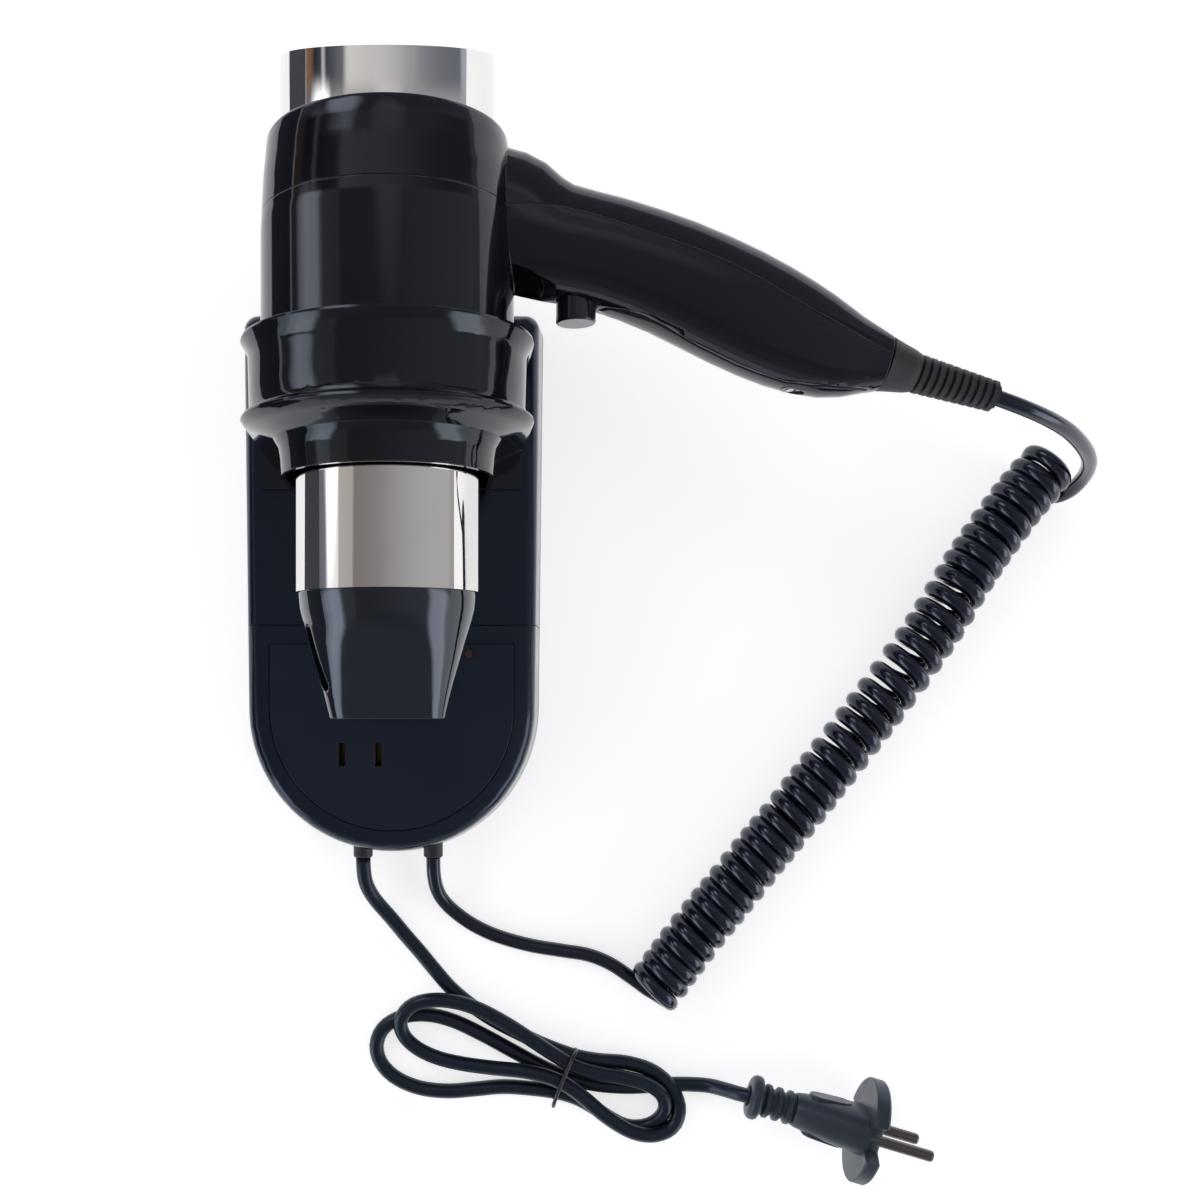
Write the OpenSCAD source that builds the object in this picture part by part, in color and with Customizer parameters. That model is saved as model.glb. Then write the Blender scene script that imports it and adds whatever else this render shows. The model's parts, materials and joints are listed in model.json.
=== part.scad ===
// Wall-mounted hair dryer with its holder, shaver socket, curly lead and mains lead.
// The wall face is Z = 0 and +Z points out of the wall. +Y points to the unit's top.

/* [Wall unit] */
// Width of the front face of the unit, mm
unit_w = 99; // [94:1:104]
// Height of the top edge above the centre of the round end, mm
unit_top = 137; // [132:1:142]
// Depth of the unit from the wall to its front face, mm
unit_d = 30; // [28:1:30]
// How far the sides flare from the front face to the wall, mm a side
flare = 4; // [3:0.5:5]
// Height of the seam between the two covers, mm
seam_y = 29; // [26:1:32]
// How much wider the top of the unit is than its round end, mm a side
taper = 1.6; // [0.8:0.2:2]
// Wall thickness of the moulded covers, mm
wall = 2.4; // [2:0.1:3]

/* [Holder cup] */
// Radius of the two flared rims, mm
rim_r = 46; // [45:0.5:47]
// Height of the upper rim, mm
rim_hi = 116.5; // [115:0.5:118]
// Height of the lower rim, mm
rim_lo = 92; // [91.5:0.5:92.5]

/* [Dryer] */
// Radius of the black barrel, mm
barrel_r = 40; // [39:0.5:40]
// Radius of the chrome outlet tube, mm
tube_r = 29.2; // [28.8:0.2:29.6]
// Radius of the chrome rear cap, mm
cap_r = 34.2; // [33:0.2:35]
// Half thickness of the grip, mm
grip_t = 15; // [14:0.5:16]
// Travel of the push button, mm
press = 3; // [2:0.5:3]

/* [Cords] */
// Diameter of the mains lead, mm
mains_d = 5.4; // [5:0.1:6]
// Diameter of the curly lead's wire, mm
wire_d = 5.2; // [4.5:0.1:5.5]
// Outer diameter of the curly coil, mm
coil_d = 21; // [19:1:22]

/* [Hidden] */
$fn = 64;
az = 71;                       // height of the dryer's axis over the wall
uf = unit_w / 2;               // half width at the front face
ub = uf + flare;               // half width at the wall
e = 0.02;

// ---- helpers ----
module along_y(y) { translate([0, y, az]) rotate([-90, 0, 0]) children(); }
module tube_y(y0, y1, ro, ri) { along_y(y0) difference() { cylinder(r = ro, h = y1 - y0); translate([0, 0, -1]) cylinder(r = ri, h = y1 - y0 + 2); } }
function lerp(a, b, t) = a + (b - a) * t;
function cr(p, i, t) = let (n = len(p) - 1, a = p[max(i - 1, 0)], b = p[i], c = p[min(i + 1, n)], d = p[min(i + 2, n)])
  0.5 * (2 * b + (c - a) * t + (2 * a - 5 * b + 4 * c - d) * t * t + (3 * b - a - 3 * c + d) * t * t * t);
function smooth(p, k) = concat([for (i = [0 : len(p) - 2]) for (j = [0 : k - 1]) cr(p, i, j / k)], [p[len(p) - 1]]);
function unit(v) = v / norm(v);
// parallel-transported frames along a line of points
function dirs(p) = [for (i = [0 : len(p) - 1]) unit(p[min(i + 1, len(p) - 1)] - p[max(i - 1, 0)])];
function side(d) = let (u = abs(d[2]) > 0.9 ? [1, 0, 0] : [0, 0, 1]) unit(cross(d, u));
function nxt(nrm, d) = unit(nrm - (nrm * d) * d);
function frames(d, i = 0, acc = []) = i >= len(d) ? acc :
  frames(d, i + 1, concat(acc, [i == 0 ? side(d[0]) : nxt(acc[i - 1], d[i])]));
module skin(rings) {
  m = len(rings); n = len(rings[0]);
  polyhedron(points = [for (r = rings) for (p = r) p],
    faces = concat([[for (j = [n - 1 : -1 : 0]) j]], [[for (j = [0 : n - 1]) (m - 1) * n + j]],
      [for (i = [0 : m - 2]) for (j = [0 : n - 1]) [i * n + j, i * n + (j + 1) % n, (i + 1) * n + (j + 1) % n]],
      [for (i = [0 : m - 2]) for (j = [0 : n - 1]) [i * n + j, (i + 1) * n + (j + 1) % n, (i + 1) * n + j]]), convexity = 6);
}
module cord(p, d, n) {
  t = dirs(p); s = frames(t);
  skin([for (i = [0 : len(p) - 1]) [for (j = [0 : n - 1]) p[i] + d / 2 * (cos(360 * j / n) * s[i] - sin(360 * j / n) * cross(t[i], s[i]))]]);
}

// ---- wall unit ----
// levels are [z, inset]; one hull makes the drafted, round-nosed form
module unit_form(levels) {
  hull() for (l = levels) {
    r = uf + flare * (1 - l[0] / unit_d) - l[1];
    translate([0, 0, l[0]]) cylinder(r = r, h = e, $fn = 96);
    for (s = [-1, 1]) translate([s * (r - 5 + taper), unit_top + flare * (1 - l[0] / unit_d) - l[1] - 5, l[0]]) cylinder(r = 5, h = e, $fn = 24);
  }
}
module unit_outer() unit_form([[3.2, 0], [unit_d - 4.5, 0], [unit_d - 2.6, 0.5], [unit_d - 1.1, 1.6], [unit_d - e, 3.4]]);
module unit_inner() unit_form([[3.1, wall], [unit_d - 6, wall], [unit_d - wall, wall + 3]]);
module panel_form(g, z0, z1) {
  difference() {
    translate([0, 0, z0]) union() {
      cylinder(r = uf - 6.8 - g, h = z1 - z0, $fn = 96);
      translate([-(uf - 6.8 - g), 0, 0]) cube([2 * (uf - 6.8 - g), 22.6 - g, z1 - z0]);
    }
    translate([-80, 22.6 - g, z0 - 1]) cube([160, 60, z1 - z0 + 2]);
  }
}
sock = [-11, -16, 0];
module cable_hole(x) { translate([x, -60, 8]) rotate([-90, 0, 0]) cylinder(r = 3.6, h = 20); }
module back_plate() color("#2a2d33") difference() {
  union() {
    unit_form([[0, 0], [3, 0]]);
    for (x = [-36, 36]) for (y = [-16, 106]) translate([x, y, 2]) cylinder(r = 4, h = 8);
    translate([-6, -36, 2]) cube([34, 8, 2.4]);
  }
  for (x = [-30, 30]) for (y = [12, 92]) translate([x, y, -1]) cylinder(r = 2.3, h = 6);
  for (x = [-36, 36]) for (y = [-16, 106]) translate([x, y, -1]) { cylinder(r = 1.7, h = 20); cylinder(r = 3.4, h = 3.2); }
}
module upper_cover() color("#33373d") difference() {
  intersection() { unit_outer(); translate([-80, seam_y + 0.15, 3.2]) cube([160, 160, 60]); }
  unit_inner();
  for (x = [-20, 20]) for (y = [82, 108]) translate([x, y, 20]) cylinder(r = 1.6, h = 20);
}
module lower_cover() color("#30343a") difference() {
  union() {
    difference() {
      intersection() { unit_outer(); translate([-80, -80, 3.2]) cube([160, 80 + seam_y - 0.15, 60]); }
      unit_inner();
    }
    translate([-36, -16, 10.2]) cylinder(r = 4, h = 18);
    translate([36, -16, 10.2]) cylinder(r = 4, h = 18);
  }
  panel_form(0, unit_d - 1.2, unit_d + 2);
  translate([sock[0] - 16, sock[1] - 10, 20]) cube([32, 20, 20]);
  translate([26.8, 19, 20]) cylinder(r = 2.6, h = 20);
  for (x = [-36, 36]) translate([x, -16, 5]) cylinder(r = 1.2, h = 16);
  cable_hole(-11); cable_hole(14.5);
}
module socket_panel() color("#343940") difference() {
  panel_form(0.35, unit_d - 1.15, unit_d);
  for (s = [-1, 1]) translate([sock[0] + s * 6.35 - 1.2, sock[1] - 4, 0]) cube([2.4, 8, 60]);
  translate([26.8, 19, 0]) cylinder(r = 1.55, h = 60);
}
// profile of the holder: radius, height. A funnel with two trumpet rims over a narrower cup.
rim_prof = [[rim_r, rim_hi], [rim_r + 0.3, rim_hi - 0.9], [rim_r - 0.6, rim_hi - 2.4], [rim_r - 2, rim_hi - 5], [43.9, rim_hi - 9],
  [43.6, rim_lo + 3], [44.2, rim_lo + 1.2], [rim_r, rim_lo], [rim_r + 0.3, rim_lo - 0.9], [rim_r - 1, rim_lo - 2.6], [40, rim_lo - 4.6], [36, rim_lo - 6.6], [34.4, rim_lo - 9.6],
  [34, rim_lo - 13], [33.6, 74], [32.1, 74], [31.6, rim_lo - 10], [32.6, rim_lo - 6], [38, rim_lo - 3.2], [41.2, rim_lo + 0.5], [41.6, rim_lo + 4],
  [41.8, rim_hi - 9], [43, rim_hi - 3], [44.4, rim_hi]];
module holder_cup() color("#2b2e35") difference() {
  union() {
    translate([0, 0, az]) rotate([-90, 0, 0]) rotate([0, 0, 180]) rotate_extrude(angle = 180, $fn = 96) polygon(rim_prof);
    for (s = [0, 1]) mirror([s, 0, 0]) translate([0, 0, unit_d + 0.1]) linear_extrude(az - unit_d - 0.1) polygon(rim_prof);
    translate([-45, 76, unit_d + 0.1]) cube([90, 38, 2.2]);
    for (s = [-1, 1]) translate([s * 20, 0, 0]) for (y = [82, 108]) translate([0, y, unit_d - 8]) cylinder(r = 1.5, h = 8.2);
  }
  along_y(70) cylinder(r = 31.6, h = 30);
  along_y(rim_lo - 3) cylinder(r = 41, h = 50);
  for (x = [-20, 20]) for (y = [82, 108]) translate([x, y, 15]) cylinder(r = 0.9, h = 30);
}
module cup_screws() color("silver") for (x = [-20, 20]) for (y = [82, 108]) translate([x, y, 0]) {
  translate([0, 0, unit_d - wall - 8.3]) cylinder(r = 3, h = 2.2);
  translate([0, 0, unit_d - wall - 6.2]) cylinder(r = 0.9, h = 8.4);
}
module cover_screws() color("silver") for (x = [-36, 36]) for (y = [-16, 106]) translate([x, y, 0]) {
  translate([0, 0, 0.2]) cylinder(r = 3.2, h = 2);
  cylinder(r = 1.2, h = y < 0 ? 18 : 13);
}
module socket_body() color("#4a4d52") translate([sock[0], sock[1], 0]) difference() {
  translate([-15, -8.3, 12]) cube([30, 17.3, unit_d - 1.15 - 12]);
  for (s = [-1, 1]) translate([s * 6.35 - 2.2, -5, 13.5]) cube([4.4, 10, 30]);
}
module socket_contacts() color("#c9a24a") translate([sock[0], sock[1], 0]) for (s = [-1, 1]) translate([s * 6.35, 0, 0]) difference() {
  translate([-2, -4, 13.6]) cube([4, 8, 12]);
  translate([-1, -5, 15]) cube([2, 10, 12]);
}
module indicator_lamp() color("#7c1f22") translate([26.8, 19, 0]) {
  translate([0, 0, 18]) cylinder(r = 1.5, h = unit_d - 18 + 0.4);
  translate([0, 0, 18]) cylinder(r = 2, h = 1.4);
}
module lamp_board() color("#1f5a34") translate([14, 12, 16.2]) cube([20, 12, 1.6]);
module terminal_block() color("#d8d4c8") difference() {
  translate([-8, 34, 3.3]) cube([32, 16, 12]);
  for (x = [-2, 8, 18]) translate([x, 42, 8]) cylinder(r = 2.2, h = 12);
}
module cord_clamps() color("#3a3d42") for (x = [-11, 14.5]) translate([x, 0, 0]) difference() {
  translate([-9, -31.5, 4.6]) cube([18, 7, 8.4]);
  translate([0, -35, 8]) rotate([-90, 0, 0]) cylinder(r = 3.1, h = 20);
  for (s = [-1, 1]) translate([s * 6.4, -28, 0]) cylinder(r = 1.3, h = 20);
}
module clamp_screws() color("silver") for (x = [-11, 14.5]) for (s = [-1, 1]) translate([x + s * 6.4, -28, 0]) {
  translate([0, 0, 13.1]) cylinder(r = 2.4, h = 1.6);
  translate([0, 0, 4.6]) cylinder(r = 1.2, h = 8.6);
}
module bushing(x, d) translate([x, 0, 8]) rotate([90, 0, 0]) difference() {
  union() {
    translate([0, 0, 42]) cylinder(r = 3.5, h = 12);
    translate([0, 0, 44]) cylinder(r = 4.8, h = 2);
    translate([0, 0, 53.9]) cylinder(r1 = 3.5, r2 = 3.1, h = 0.6);
  }
  translate([0, 0, 40]) cylinder(r = d / 2, h = 40);
}
module mains_bushing() color("#222428") bushing(-11, mains_d);
module handset_bushing() color("#222428") bushing(14.5, wire_d);

// ---- dryer ----
// grip stations: x, y, half width in the plane of the grip, half thickness
grip = [[10, 157, 21, 15], [26, 156.6, 22.4, 15.5], [38, 154.8, 22, grip_t], [45, 151.6, 20, grip_t], [54, 148.2, 18.2, grip_t], [70, 144.5, 17.6, grip_t], [90, 137.4, 18.1, grip_t], [110, 128, 18.6, grip_t],
  [127, 119.6, 17.6, grip_t - 1], [141, 113.8, 14.8, grip_t - 3], [151, 111.6, 11.2, grip_t - 5.5], [157, 110.2, 8.8, 8.8]];
function sgn(v) = v < 0 ? -1 : 1;
function sq(a, k) = sgn(a) * pow(abs(a), k);
module grip_form(g, x_end) {
  p = smooth(grip, 2); n = 32;
  t = dirs([for (q = p) [q[0], q[1], 0]]);
  skin([for (i = [0 : len(p) - 1]) let (nr = [-t[i][1], t[i][0], 0])
    [for (j = [0 : n - 1]) let (a = 360 * j / n)
      [p[i][0] + (i == 0 ? -g : i == len(p) - 1 ? x_end : 0), p[i][1], az] + nr * (p[i][2] - g) * sq(cos(a), 0.85) + [0, 0, -(p[i][3] - g) * sq(sin(a), 0.85)]]]);
}
upper_seam = [[30, 155.5], [54, 155.2], [80, 147.6], [106, 138], [132, 123.7], [162, 109.5]];
lower_seam = [[36, 131], [63, 127.8], [80, 123.6], [98, 114.2], [115, 106.4], [132, 102], [166, 101.2]];
us = smooth(upper_seam, 3);
ls = smooth(lower_seam, 3);
module above_upper(g) linear_extrude(140) polygon(concat([[-60, 155.5 + g]], [for (p = us) [p[0], p[1] + g]], [[170, 230], [-60, 230]]));
module below_lower(g) difference() {
  linear_extrude(140) polygon(concat([[36, 131 - g]], [for (p = ls) [p[0], p[1] - g]], [[166, 60], [36, 60]]));
  along_y(50) cylinder(r = barrel_r + 0.15 + g, h = 140);
}
module barrel_solid() along_y(0) rotate_extrude($fn = 96) polygon([[0, 91.5], [30, 91.5], [36, 92.5], [38.8, 95], [barrel_r - 0.1, 99], [barrel_r, 106], [barrel_r, 150], [barrel_r - 0.7, 166], [barrel_r - 1.8, 178.6], [barrel_r - 2.6, 180], [0, 180]]);
module barrel_inside() along_y(0) rotate_extrude($fn = 96) polygon([[0, 90], [tube_r + 0.05, 90], [tube_r + 0.05, 97], [37.2, 99], [37.4, 106], [37.4, 150], [36.6, 177.6], [cap_r + 0.1, 177.6], [cap_r + 0.1, 181], [0, 181]]);
module strain_axis() { translate([156.5, 110.3, az]) rotate([0, 0, -16.5]) rotate([0, 90, 0]) children(); }
module body_shell() difference() {
  union() { barrel_solid(); difference() { grip_form(0, 0); barrel_inside(); } }
  barrel_inside();
  difference() { grip_form(2.2, -3); along_y(80) cylinder(r = barrel_r - 0.2, h = 110); }
  strain_axis() translate([0, 0, -12]) cylinder(r = 6.2, h = 30);
}
bx = 59.7;
module button_well() translate([bx, 0, az]) rotate([-90, 0, 0]) { translate([0, 0, 110]) cylinder(r = 6.4, h = 30); translate([0, 0, 131.05]) cylinder(r = 7.6, h = 6); }
module screw_hole(r0, r1, y) translate([129, y, az]) rotate([-90, 0, 0]) cylinder(r1 = r0, r2 = r1, h = 5);
module front_shell() color("#17181c") union() {
  difference() {
    body_shell(); above_upper(-0.05); below_lower(-0.05);
    button_well();
    translate([129, 95, az]) rotate([-90, 0, 0]) cylinder(r = 4.7, h = 11.35);
  }
  difference() {
    translate([129, 106.4, az]) rotate([-90, 0, 0]) cylinder(r = 3.6, h = 14);
    translate([129, 100, az]) rotate([-90, 0, 0]) cylinder(r = 1.3, h = 30);
  }
  translate([123, 118, az - 13.4]) cube([12, 2.4, 26.8]);
}
module rear_shell() color("#17181c") intersection() { body_shell(); above_upper(0.1); }
module grip_cover() color("#1b1d21") difference() {
  union() {
    intersection() { body_shell(); below_lower(0.1); }
    translate([129, 102, az]) rotate([-90, 0, 0]) cylinder(r = 4.5, h = 4.2);
  }
  button_well();
  translate([129, 96, az]) rotate([-90, 0, 0]) cylinder(r = 1.7, h = 14);
  translate([129, 92, az]) rotate([-90, 0, 0]) cylinder(r = 3, h = 12);
}
// end of the cap: highest on the middle line, falling to front and back
function cap_end(t, y1) = y1 + 1.6 - sqrt(2.56 + pow(0.36 * t, 2));
module cap_solid(r, y1) intersection() {
  along_y(176) cylinder(r = r, h = y1 - 176, $fn = 96);
  translate([-60, 0, az]) rotate([0, 90, 0]) linear_extrude(120)
    polygon(concat([[40, 170], [-40, 170]], [for (i = [0 : 32]) let (t = -40 + i * 2.5) [t, cap_end(t, y1)]]));
}
module rear_cap() color("#dfe1e4") difference() {
  cap_solid(cap_r, 206);
  difference() { cap_solid(cap_r - 1.4, 204.2); translate([-40, 204.3, 0]) cube([80, 10, 140]); }
  along_y(170) cylinder(r = cap_r - 1.4, h = 14);
  along_y(150) cylinder(r = 24, h = 70);
}
module intake_grille() color("#1c1d20") difference() {
  union() { tube_y(187, 189, cap_r - 1.5, 25); tube_y(187, 195.6, 25.6, 23.8); along_y(193.6) cylinder(r = 24.4, h = 2); }
  along_y(188) for (q = [[7, 6, 2.3], [13.4, 12, 2.5], [19.8, 18, 2.6]]) for (i = [0 : q[1] - 1]) rotate([0, 0, 360 * i / q[1]]) translate([q[0], 0, 0]) cylinder(r = q[2], h = 12, $fn = 24);
}
module intake_mesh() color("#8d9094") along_y(185.4) difference() { cylinder(r = cap_r - 1.6, h = 1.4); for (x = [-24 : 6 : 24]) for (z = [-24 : 6 : 24]) if (norm([x, z]) < 28) translate([x - 2.2, z - 2.2, -1]) cube([4.4, 4.4, 4]); }
module outlet_tube() color("#e2e4e6") tube_y(37.5, 112, tube_r, tube_r - 1.22);
module slotted(r, y, h) along_y(y) difference() {
  cylinder(r = r, h = h);
  for (x = [-20 : 5 : 20]) let (l = sqrt((r - 3) * (r - 3) - x * x)) translate([x - 1.7, -l, -1]) cube([3.4, 2 * l, h + 2]);
}
module outlet_grille() color("#141518") slotted(tube_r - 1.24, 46.5, 2);
module heater_frame() color("#cfc6ae") {
  difference() { union() { translate([-26, 52, az - 0.4]) cube([52, 54, 0.8]); translate([-0.4, 52, az - 26]) cube([0.8, 54, 52]); }
    translate([11, 84, az - 4]) cube([8, 0.1, 0.1]); }
  tube_y(106, 108, tube_r - 1.24, 24);
}
module heater_element() color("#9a8f86") along_y(0) for (y = [56 : 6 : 98]) translate([0, 0, y]) rotate_extrude($fn = 48) translate([y % 12 == 8 ? 21 : 16, 0]) circle(r = 0.8, $fn = 12);
module thermal_cutout() color("#b9bcc0") { translate([3, 58, az + 0.45]) cube([8, 14, 3]); translate([3, 76, az + 0.45]) cube([6, 10, 5]); }
module motor_mount() color("#2b2e33") {
  tube_y(118, 172, 30.5, 28.8);
  tube_y(130, 150, 14.2, 12.1);
  along_y(130) for (a = [30 : 60 : 330]) rotate([0, 0, a]) translate([13.6, -0.8, 0]) cube([15.6, 1.6, 16]);
  along_y(118) for (a = [0 : 90 : 270]) rotate([0, 0, a]) translate([30, -2, 0]) cube([7, 4, 8]);
}
module motor() color("#a9adb2") difference() { along_y(126) cylinder(r = 12, h = 28); along_y(124) cylinder(r = 3, h = 4.4); along_y(120) cylinder(r = 1.4, h = 50); along_y(151.8) cylinder(r = 3, h = 8); }
module motor_bushes() color("#b58a3c") { tube_y(126, 128.4, 3, 1.05); tube_y(151.8, 154, 3, 1.05); }
module fan_shaft() color("#d0d3d6") along_y(124.4) cylinder(r = 1, h = 44);
module fan() color("#3c4046") {
  tube_y(156, 169, 8, 1);
  along_y(157) for (a = [0 : 40 : 320]) rotate([0, 0, a]) translate([7.4, 0, 0]) rotate([35, 0, 0]) translate([0, -0.6, 0]) cube([20, 1.2, 11]);
}
module button_cap() color("#202226") translate([bx, 0, az]) rotate([-90, 0, 0]) {
  translate([0, 0, 122.8]) cylinder(r1 = 5.9, r2 = 6.3, h = 0.5);
  translate([0, 0, 123.3]) cylinder(r = 6.3, h = 8.4);
  translate([0, 0, 131.2]) cylinder(r = 7.4, h = 1.2);
  translate([0, 0, 132.2]) cylinder(r = 1.6, h = 2.6);
}
module button_spring() color("#c7c9cc") translate([bx, 132.5, az]) rotate([-90, 0, 0]) difference() { cylinder(r = 4.2, h = 6); translate([0, 0, -1]) cylinder(r = 3.2, h = 9); }
module button_switch() color("#2f4a7a") { translate([bx - 9, 138.6, az - 5]) cube([20, 9, 10]); translate([bx, 135, az]) rotate([-90, 0, 0]) translate([0, 0, 3]) cylinder(r = 1.2, h = 1); }
module grip_screws() color("#2a2c30") translate([129, 0, az]) rotate([-90, 0, 0]) { translate([0, 0, 101.7]) difference() { cylinder(r = 2.8, h = 2); translate([-0.4, -2, -1]) cube([0.8, 4, 1.8]); } translate([0, 0, 103.6]) cylinder(r = 1.25, h = 14); }
module strain_relief() color("#3c3f44") strain_axis() difference() {
  rotate_extrude() union() {
    translate([0, -10]) square([6.1, 11.4]);
    polygon([[0, 1.2], [8.7, 1.2], [8, 4], [6.9, 9], [6.2, 11], [0, 11]]);
    polygon([[0, 10], [4.6, 10], [3.7, 38], [0, 38]]);
    for (i = [0 : 9]) translate([0, 12 + i * 2.6]) square([6.1 - i * 0.13, 1.5]);
  }
  translate([0, 0, -12]) cylinder(r = wire_d / 2, h = 60);
}
// concentrator: round collar that melts into a flattened mouth
con = [[37.3, 28.4, 28.4, 2], [32, 28, 27.7, 2], [26, 26.4, 25.4, 2.1], [22, 25.2, 23.2, 2.3], [16, 23.4, 20.2, 2.6], [10, 21.6, 17.2, 2.9], [4, 19.9, 14.2, 3.2], [-2, 18.4, 11.4, 3.5]];
module con_form(g, e0, e1) {
  p = smooth(con, 2); n = 40;
  skin([for (i = [0 : len(p) - 1]) [for (j = [0 : n - 1]) let (a = 360 * j / n, k = 2 / p[i][3])
    [(p[i][1] - g) * sq(cos(a), k), p[i][0] + (i == 0 ? e0 : i == len(p) - 1 ? -e1 : 0), az - (p[i][2] - g) * sq(sin(a), k)]]]);
}
module concentrator() color("#24262a") union() {
  difference() {
    con_form(0, 0, 0); con_form(1.5, 2, 2);
    hull() for (q = [[-23.8, 24.9, az + 10], [-18.7, 8.9, az + 9.6]]) translate(q) rotate([0, -60, 0]) cylinder(r = 2.5, h = 14, center = true);
  }
  tube_y(36.2, 45, tube_r - 1.28, tube_r - 3);
}

// ---- cords: routes in mm ----
mains_route = [[-11, -54.6, 8], [-10.5, -62, 7.5], [-6.8, -70.5, 4.6], [-1, -77.5, 3], [4.2, -83.8, 2.8], [9.6, -90, 2.8], [16, -97.5, 2.8], [22.5, -104.5, 2.8], [29, -110.2, 2.8]];
tail_route = [[104.6, -138.6, 2.8], [110, -138.8, 2.8], [116, -138.9, 3.8], [122, -139.1, 9], [129.6, -139.7, 15]];
base_route = [[14.5, -54.6, 8], [15, -62.5, 7.4], [17.4, -69.6, 4.2], [21.8, -74.8, 2.8], [29, -80, 2.7], [38, -84.2, 2.7], [50, -87.6, 2.7], [62, -89.6, 2.7], [72, -91.2, 2.7], [80, -93.8, 2.7], [86.2, -98, 2.9], [90, -101, 3.1]];
coil_z = coil_d / 2 + 0.25;
coil_route = [[93, -103.6, coil_z], [109.4, -81.8, coil_z], [129.6, -56.8, coil_z], [150, -31.4, coil_z], [167, -9.6, coil_z], [182.2, 10.2, coil_z], [196.6, 30.6, coil_z], [210, 52.4, coil_z], [220.8, 68.1, coil_z], [228.6, 79, coil_z], [235.4, 88, coil_z]];
grip_route = [[192.9, 99.5, az], [199, 97.4, 70.6], [207, 94.6, 67.6], [216, 90.8, 61], [224.6, 86.4, 51.8], [231.6, 81.6, 41.4], [237, 77.4, 30.4], [240.8, 75.6, 20.4], [240.6, 78.6, 13], [237.4, 84.6, 11.2]];
module mains_lead() color("#1d1f23") cord(smooth(mains_route, 2), mains_d, 8);
module hank_outline() {
  hull() { translate([9.5, -125]) circle(r = 18, $fn = 32); translate([62.5, -135]) circle(r = 11, $fn = 32); }
  hull() { translate([62.5, -135]) circle(r = 11, $fn = 32); translate([89, -142.4]) circle(r = 15.6, $fn = 32); }
}
module tie_at() translate([62.5, -135, 0]) rotate([0, 0, 68]) children();
module mains_hank() color("#1d1f23") difference() {
  linear_extrude(12.4) hank_outline();
  tie_at() difference() { translate([-30, -2.2, -1]) cube([60, 4.4, 16]); translate([-10, -4, 1.1]) cube([20, 8, 10]); }
}
module mains_tail() color("#1d1f23") cord(smooth(tail_route, 2), mains_d, 8);
module hank_tie() color("#17181a") tie_at() difference() { translate([-11, -2, 0.1]) cube([22, 4, 12]); translate([-10, -4, 1.1]) cube([20, 8, 10]); }
// plug: lies on its disc's edge and on its cord end
module plug_at() translate([171, -151.1, 18.9]) rotate([0, 0, -15.4]) rotate([0, -5, 0]) rotate([0, 90, 0]) children();
module oval(a, b, z, h) translate([0, 0, z]) linear_extrude(h) scale([a / b, 1]) circle(r = b, $fn = 48);
module plug_body() color("#1b1c1f") plug_at() difference() {
  union() {
    translate([0, 0, -4.6]) cylinder(r = 18.4, h = 4.2);
    translate([0, 0, -0.6]) cylinder(r1 = 18.4, r2 = 17.8, h = 0.6);
    hull() { oval(13.5, 9, -8, 4); oval(9, 7.4, -24, 1); }
    hull() { oval(9, 7.4, -24, 1); oval(6.4, 6.2, -28, 1); }
    for (i = [0 : 2]) translate([0, 0, -31 - i * 4]) cylinder(r = 6.2, h = 2);
    translate([0, 0, -41]) cylinder(r = 4.7, h = 14);
    translate([0, 0, -45.2]) { cylinder(r1 = 6.9, r2 = 7.7, h = 0.8); translate([0, 0, 0.7]) cylinder(r = 7.7, h = 2.6); translate([0, 0, 3.2]) cylinder(r1 = 7.7, r2 = 6.9, h = 0.8); }
  }
  translate([0, 0, -47]) cylinder(r = mains_d / 2, h = 12);
  for (s = [-1, 1]) translate([s * 9.5, 0, -6.4]) cylinder(r = 2, h = 20);
  for (s = [-1, 1]) translate([s * 16.6 - 4.6, -4.6, -4.7]) cube([9.2, 9.2, 6]);
}
module plug_pins() color("#d6d8da") plug_at() for (s = [-1, 1]) translate([s * 9.5, 0, -6.4]) { cylinder(r = 2, h = 24.4); translate([0, 0, 24.4]) cylinder(r1 = 2, r2 = 1.3, h = 1); }
module curly_base_lead() color("#1d1f23") cord(smooth(base_route, 2), wire_d, 8);
module curly_coil() color("#1d1f23") cord(coil_route, coil_d, 12);
module curly_grip_lead() color("#1d1f23") cord(smooth(grip_route, 2), wire_d, 8);

back_plate();
upper_cover();
lower_cover();
socket_panel();
holder_cup();
cup_screws();
cover_screws();
socket_body();
socket_contacts();
indicator_lamp();
lamp_board();
terminal_block();
cord_clamps();
clamp_screws();
mains_bushing();
handset_bushing();
front_shell();
rear_shell();
grip_cover();
rear_cap();
intake_grille();
intake_mesh();
outlet_tube();
outlet_grille();
heater_frame();
heater_element();
thermal_cutout();
motor_mount();
motor();
motor_bushes();
fan();
fan_shaft();
button_cap();
button_spring();
button_switch();
grip_screws();
strain_relief();
concentrator();
mains_lead();
mains_hank();
mains_tail();
hank_tie();
plug_body();
plug_pins();
curly_base_lead();
curly_coil();
curly_grip_lead();
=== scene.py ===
import bpy, bmesh, math, json
from mathutils import Vector, Matrix

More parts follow.
